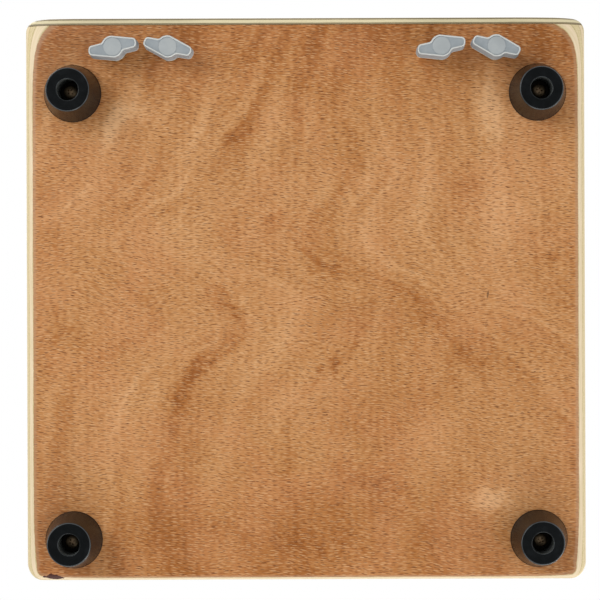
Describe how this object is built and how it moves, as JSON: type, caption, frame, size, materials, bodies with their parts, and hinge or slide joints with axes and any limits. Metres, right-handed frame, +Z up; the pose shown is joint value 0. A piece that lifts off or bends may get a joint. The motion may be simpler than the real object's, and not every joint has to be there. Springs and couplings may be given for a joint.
{
  "type": "cajon",
  "caption": "Upright wooden box drum with a thin front playing plate, a round sound hole in the back, rubber feet and wing knobs underneath that tighten strings behind the plate.",
  "frame": {"origin": "centre of the square footprint, at the floor that the rubber feet stand on", "axes": "+Z up, -Y out of the playing plate towards the audience, +X to the right for someone who looks at the playing plate"},
  "size_m": [0.3, 0.3, 0.5],
  "materials": {
    "beech_ply": "beech veneered plywood, satin clear lacquer",
    "plate_ply": "thin three-ply front plate, satin clear lacquer",
    "solid_beech": "planed, unfinished",
    "foot_rubber": "moulded, slightly glossy",
    "grey_nylon": "moulded, fine matt",
    "zinc_steel": "zinc plated",
    "bronzed_steel": "bronzed wood screw",
    "brass": "machined",
    "string_steel": "drawn wire"
  },
  "bodies": {
    "shell": {"bottom_panel": "beech_ply", "top_panel": "beech_ply", "side_panel_left": "beech_ply", "side_panel_right": "beech_ply", "back_panel": "beech_ply", "front_plate": "plate_ply", "string_bar": "solid_beech", "carriage_guide_left": "solid_beech", "carriage_guide_right": "solid_beech", "foot_front_left": "foot_rubber", "foot_washer_front_left": "zinc_steel", "foot_screw_front_left": "bronzed_steel", "foot_front_right": "foot_rubber", "foot_washer_front_right": "zinc_steel", "foot_screw_front_right": "bronzed_steel", "foot_back_left": "foot_rubber", "foot_washer_back_left": "zinc_steel", "foot_screw_back_left": "bronzed_steel", "foot_back_right": "foot_rubber", "foot_washer_back_right": "zinc_steel", "foot_screw_back_right": "bronzed_steel", "plate_screw_left_1": "zinc_steel", "plate_screw_left_2": "zinc_steel", "plate_screw_left_3": "zinc_steel", "plate_screw_left_4": "zinc_steel", "plate_screw_left_5": "zinc_steel", "plate_screw_right_1": "zinc_steel", "plate_screw_right_2": "zinc_steel", "plate_screw_right_3": "zinc_steel", "plate_screw_right_4": "zinc_steel", "plate_screw_right_5": "zinc_steel", "plate_screw_bottom_left": "zinc_steel", "plate_screw_bottom_right": "zinc_steel", "plate_screw_top_left": "zinc_steel", "plate_screw_top_right": "zinc_steel", "screw_bush_1": "brass", "string_ball_1": "brass", "screw_bush_2": "brass", "string_ball_2": "brass", "screw_bush_3": "brass", "string_ball_3": "brass", "screw_bush_4": "brass", "string_ball_4": "brass"},
    "tuner_1": {"wing_knob_1": "grey_nylon", "tension_screw_1": "zinc_steel"},
    "tuner_2": {"wing_knob_2": "grey_nylon", "tension_screw_2": "zinc_steel"},
    "tuner_3": {"wing_knob_3": "grey_nylon", "tension_screw_3": "zinc_steel"},
    "tuner_4": {"wing_knob_4": "grey_nylon", "tension_screw_4": "zinc_steel"},
    "carriage_1": {"string_carriage_1": "brass", "string_1": "string_steel"},
    "carriage_2": {"string_carriage_2": "brass", "string_2": "string_steel"},
    "carriage_3": {"string_carriage_3": "brass", "string_3": "string_steel"},
    "carriage_4": {"string_carriage_4": "brass", "string_4": "string_steel"}
  },
  "joints": [
    {"name": "knob_turn_1", "type": "hinge", "parent": "shell", "child": "tuner_1", "pos_m": [-0.101, -0.133, 0.0105], "axis": [0, 0, 1], "range_deg": [-2610, 2610]},
    {"name": "knob_turn_2", "type": "hinge", "parent": "shell", "child": "tuner_2", "pos_m": [-0.072, -0.133, 0.0105], "axis": [0, 0, 1], "range_deg": [-2610, 2610]},
    {"name": "knob_turn_3", "type": "hinge", "parent": "shell", "child": "tuner_3", "pos_m": [0.072, -0.133, 0.0105], "axis": [0, 0, 1], "range_deg": [-2610, 2610]},
    {"name": "knob_turn_4", "type": "hinge", "parent": "shell", "child": "tuner_4", "pos_m": [0.101, -0.133, 0.0105], "axis": [0, 0, 1], "range_deg": [-2610, 2610]},
    {"name": "carriage_slide_1", "type": "slide", "parent": "shell", "child": "carriage_1", "axis": [0, 0, 1], "range_m": [-0.006, 0.006], "deforming": ["string_1"]},
    {"name": "carriage_slide_2", "type": "slide", "parent": "shell", "child": "carriage_2", "axis": [0, 0, 1], "range_m": [-0.006, 0.006], "deforming": ["string_2"]},
    {"name": "carriage_slide_3", "type": "slide", "parent": "shell", "child": "carriage_3", "axis": [0, 0, 1], "range_m": [-0.006, 0.006], "deforming": ["string_3"]},
    {"name": "carriage_slide_4", "type": "slide", "parent": "shell", "child": "carriage_4", "axis": [0, 0, 1], "range_m": [-0.006, 0.006], "deforming": ["string_4"]}
  ],
  "couplings": [
    {"joint": "carriage_slide_1", "follows": "knob_turn_1", "m_per_rad": -0.00012732},
    {"joint": "carriage_slide_2", "follows": "knob_turn_2", "m_per_rad": -0.00012732},
    {"joint": "carriage_slide_3", "follows": "knob_turn_3", "m_per_rad": -0.00012732},
    {"joint": "carriage_slide_4", "follows": "knob_turn_4", "m_per_rad": -0.00012732}
  ]
}
